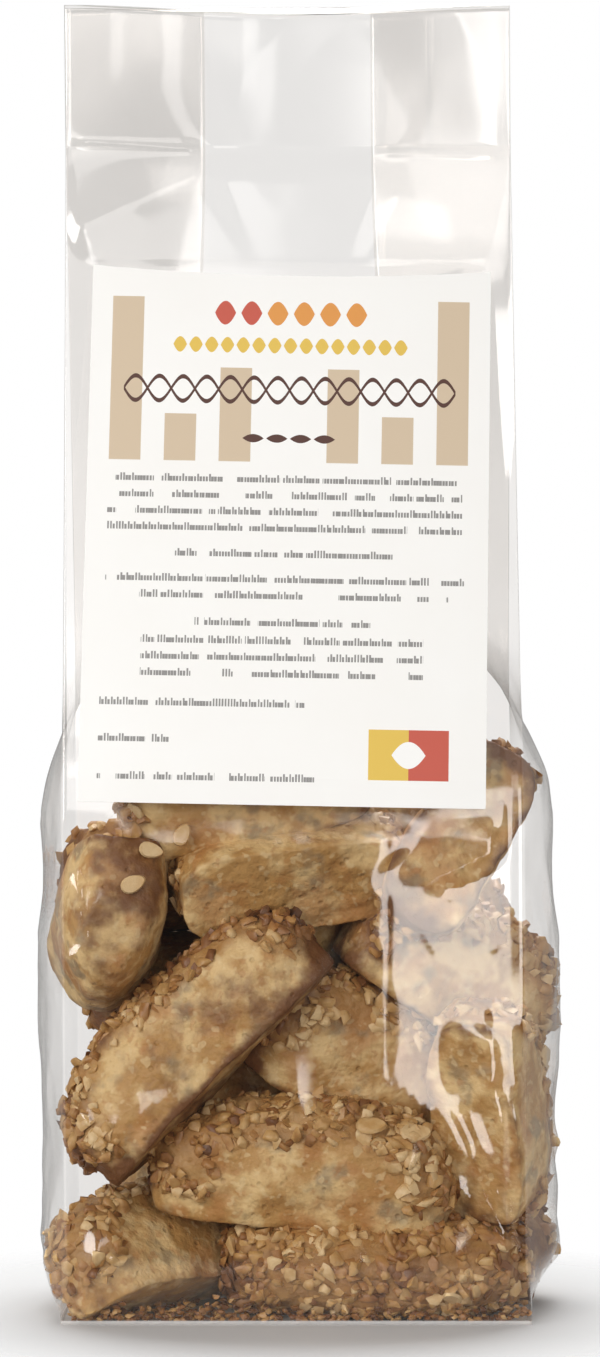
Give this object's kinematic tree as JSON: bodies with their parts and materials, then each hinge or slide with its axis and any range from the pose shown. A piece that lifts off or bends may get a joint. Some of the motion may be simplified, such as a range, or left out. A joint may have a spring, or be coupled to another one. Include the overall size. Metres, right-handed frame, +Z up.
{
  "type": "sealed clear bag of sicilian almond cookies",
  "caption": "Tall clear bag with side gussets and a block bottom, full of arched almond cookies in its lower half, with a paper label on the front.",
  "frame": {"origin": "middle of the base that the bag stands on", "axes": "+Z up the bag, front panel with the label towards -Y, +X to the right as seen from the front"},
  "size_m": [0.0999, 0.0584, 0.25],
  "materials": {
    "bag_film": "clear glossy film over golden almond cookies",
    "label_paper": "smooth white label paper with a satin face"
  },
  "bodies": {
    "root": {"bag": "bag_film", "label": "label_paper"}
  },
  "joints": []
}
